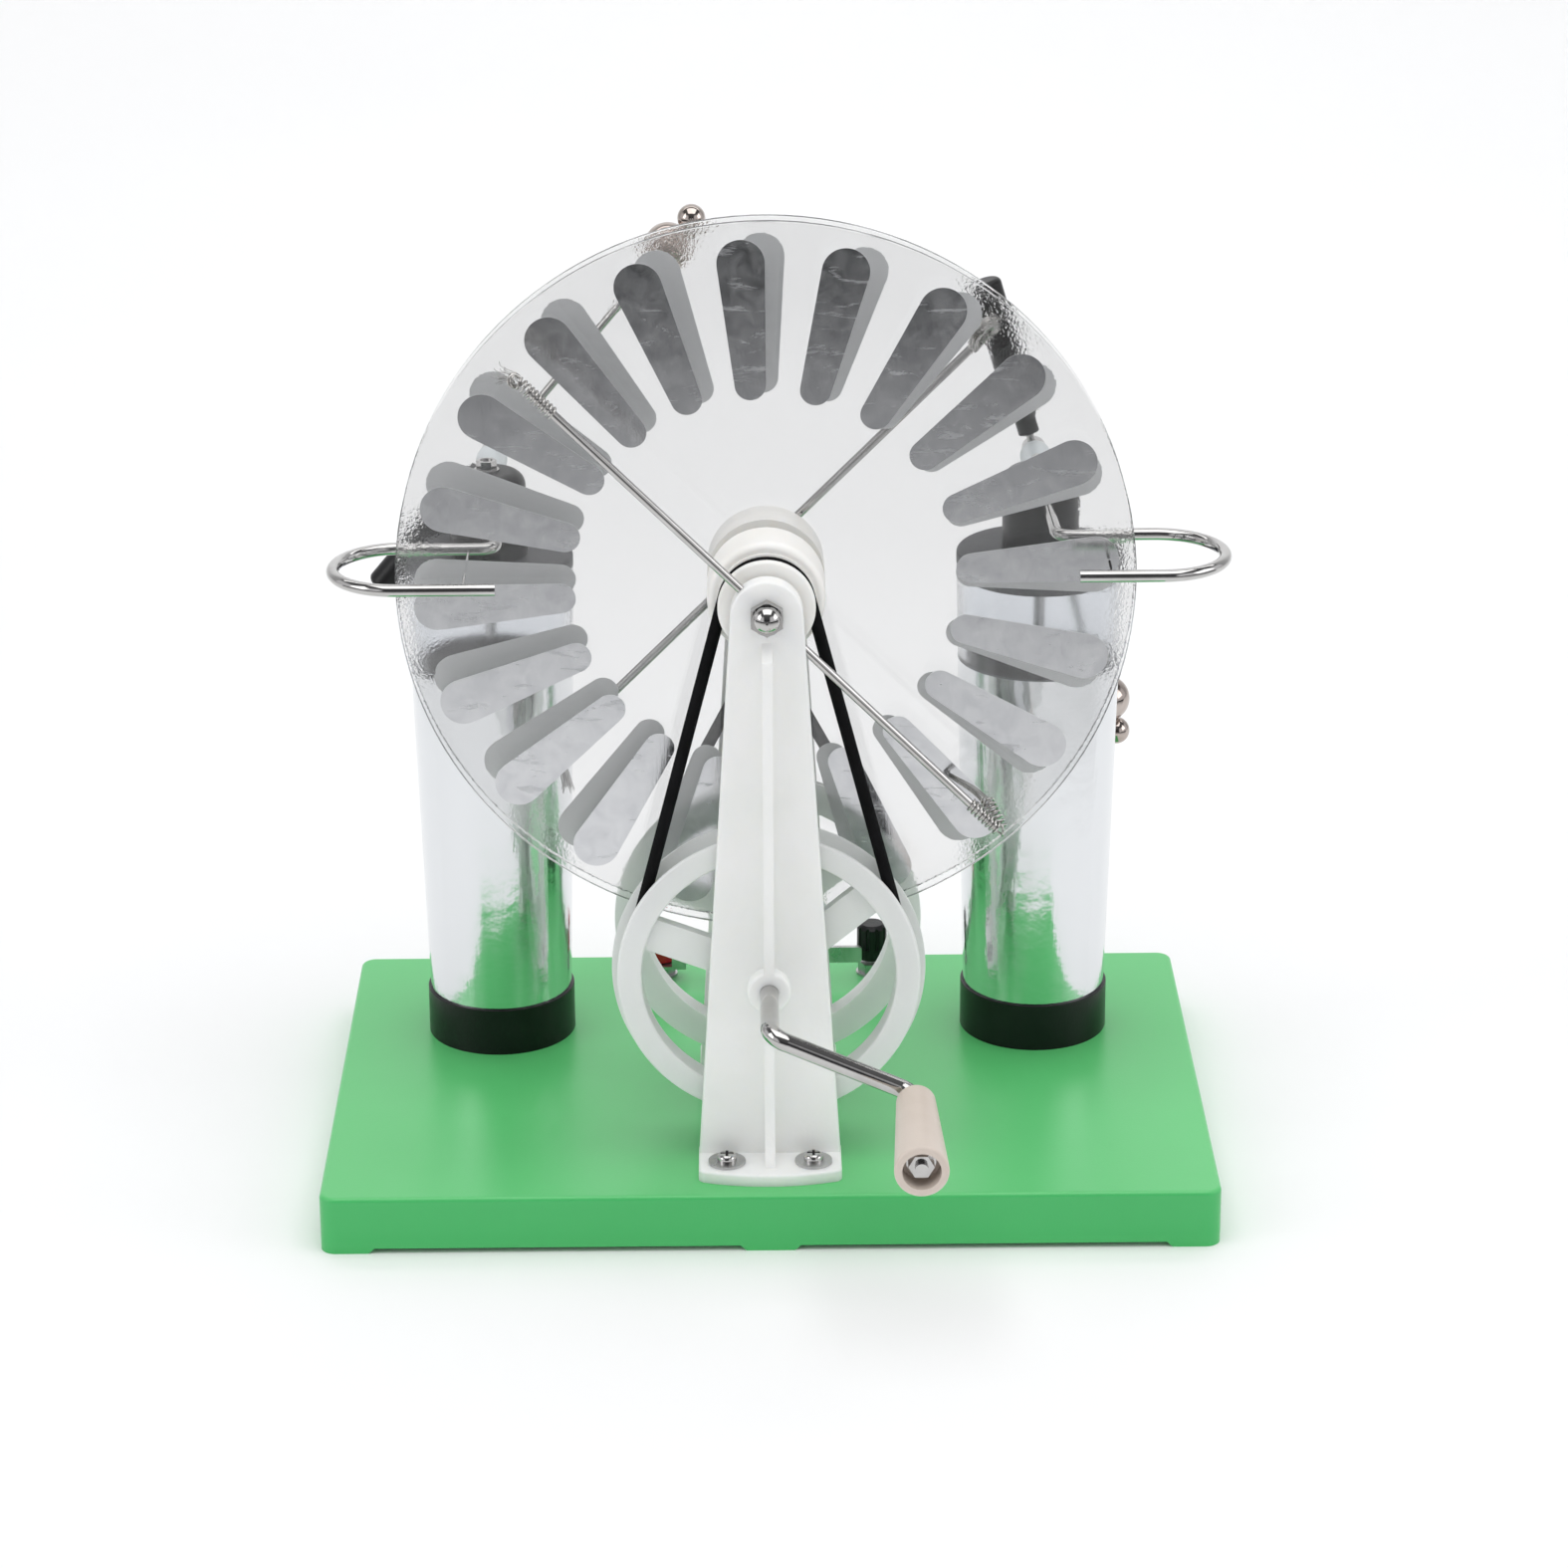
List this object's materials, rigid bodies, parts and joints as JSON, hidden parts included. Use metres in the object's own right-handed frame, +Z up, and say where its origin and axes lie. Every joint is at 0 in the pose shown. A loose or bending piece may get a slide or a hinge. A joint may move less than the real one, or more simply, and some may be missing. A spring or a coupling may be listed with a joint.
{
  "type": "wimshurst machine",
  "caption": "Hand-cranked electrostatic generator: contra-rotating clear discs with foil sectors, belt drive, brush rods, collector combs, Leyden jars and discharge rods on a tray base.",
  "frame": {"origin": "centre of the tray's underside, on the plane the feet stand on", "axes": "+X to the right seen from the crank side, +Y away from the crank to the jars, +Z up"},
  "size_m": [0.2929, 0.2654, 0.325],
  "materials": {
    "green_plastic": "satin",
    "white_nylon": "satin, slightly translucent",
    "hub_nylon": "satin",
    "clear_disc": "clear acrylic sheet",
    "sector_foil": "rolled foil",
    "belt_rubber": "matte",
    "bright_steel": "bright nickel plate",
    "plain_metal": "plain",
    "beige_plastic": "satin",
    "black_plastic": "semi-gloss",
    "lid_plastic": "matte",
    "red_plastic": "semi-gloss",
    "clear_jar": "clear moulded plastic",
    "jar_foil": "bright foil",
    "pale_plastic": "satin"
  },
  "bodies": {
    "frame": {"base": "green_plastic", "front_upright": "white_nylon", "rear_upright": "white_nylon", "foot_screws": "bright_steel", "foot_washers": "plain_metal", "main_axle": "bright_steel", "axle_cap_nuts": "bright_steel", "disc_spacer": "hub_nylon", "front_belt": "belt_rubber", "rear_belt": "belt_rubber", "front_neutraliser_rod": "bright_steel", "rear_neutraliser_rod": "bright_steel", "front_brushes": "bright_steel", "rear_brushes": "bright_steel", "left_jar_cup": "clear_jar", "left_outer_foil": "jar_foil", "left_jar_lid": "lid_plastic", "right_jar_cup": "clear_jar", "right_outer_foil": "jar_foil", "right_jar_lid": "lid_plastic", "inner_foils": "jar_foil", "jar_base_caps": "black_plastic", "contact_rods": "bright_steel", "dome_finials": "bright_steel", "jar_screws": "bright_steel", "left_comb": "bright_steel", "left_jar_dome": "black_plastic", "right_comb": "bright_steel", "right_jar_dome": "black_plastic", "comb_needles": "bright_steel", "left_discharge_arm": "pale_plastic", "right_discharge_arm": "pale_plastic", "pivot_screws": "bright_steel", "terminal_posts": "plain_metal", "jar_leads": "plain_metal"},
    "crank": {"crank_shaft": "bright_steel", "front_drive_wheel": "white_nylon", "rear_drive_wheel": "white_nylon", "set_screws": "bright_steel", "shaft_collar": "bright_steel", "crank_pin_nut": "bright_steel"},
    "front_disc_group": {"front_disc": "clear_disc", "front_sectors": "sector_foil", "front_hub": "hub_nylon"},
    "rear_disc_group": {"rear_disc": "clear_disc", "rear_sectors": "sector_foil", "rear_hub": "hub_nylon"},
    "grip": {"crank_grip": "beige_plastic"},
    "left_discharger": {"left_discharge_rod": "bright_steel", "left_discharge_balls": "bright_steel", "left_discharge_handle": "black_plastic"},
    "right_discharger": {"right_discharge_rod": "bright_steel", "right_discharge_balls": "bright_steel", "right_discharge_handle": "black_plastic"},
    "link": {"link_bar": "plain_metal"},
    "left_cap": {"left_terminal_cap": "red_plastic"},
    "right_cap": {"right_terminal_cap": "black_plastic"}
  },
  "joints": [
    {"name": "crank_turn", "type": "hinge", "parent": "frame", "child": "crank", "pos_m": [0, -0.037, 0.082], "axis": [0, 1, 0], "continuous": true},
    {"name": "front_disc_spin", "type": "hinge", "parent": "frame", "child": "front_disc_group", "pos_m": [0, -0.037, 0.2075], "axis": [0, 1, 0], "continuous": true},
    {"name": "rear_disc_spin", "type": "hinge", "parent": "frame", "child": "rear_disc_group", "pos_m": [0, -0.037, 0.2075], "axis": [0, 1, 0], "continuous": true},
    {"name": "grip_spin", "type": "hinge", "parent": "crank", "child": "grip", "pos_m": [0.0455, -0.14, 0.0618], "axis": [0, 1, 0], "continuous": true},
    {"name": "left_discharger_swing", "type": "hinge", "parent": "frame", "child": "left_discharger", "pos_m": [-0.092, 0.0755, 0.215], "axis": [0, 1, 0], "range_deg": [-218, 13]},
    {"name": "right_discharger_swing", "type": "hinge", "parent": "frame", "child": "right_discharger", "pos_m": [0.092, 0.0755, 0.215], "axis": [0, -1, 0], "range_deg": [-15, 216]},
    {"name": "link_swing", "type": "hinge", "parent": "frame", "child": "link", "pos_m": [-0.0374, 0.081, 0.0249], "axis": [0, 0, 1], "range_deg": [-50, 0]},
    {"name": "left_cap_turn", "type": "hinge", "parent": "frame", "child": "left_cap", "pos_m": [-0.0374, 0.081, 0.03], "axis": [0, 0, 1], "continuous": true},
    {"name": "right_cap_turn", "type": "hinge", "parent": "frame", "child": "right_cap", "pos_m": [0.0374, 0.081, 0.03], "axis": [0, 0, 1], "continuous": true}
  ],
  "couplings": [
    {"joint": "front_disc_spin", "follows": "crank_turn", "ratio": 3.3333},
    {"joint": "rear_disc_spin", "follows": "crank_turn", "ratio": -3.3333}
  ]
}
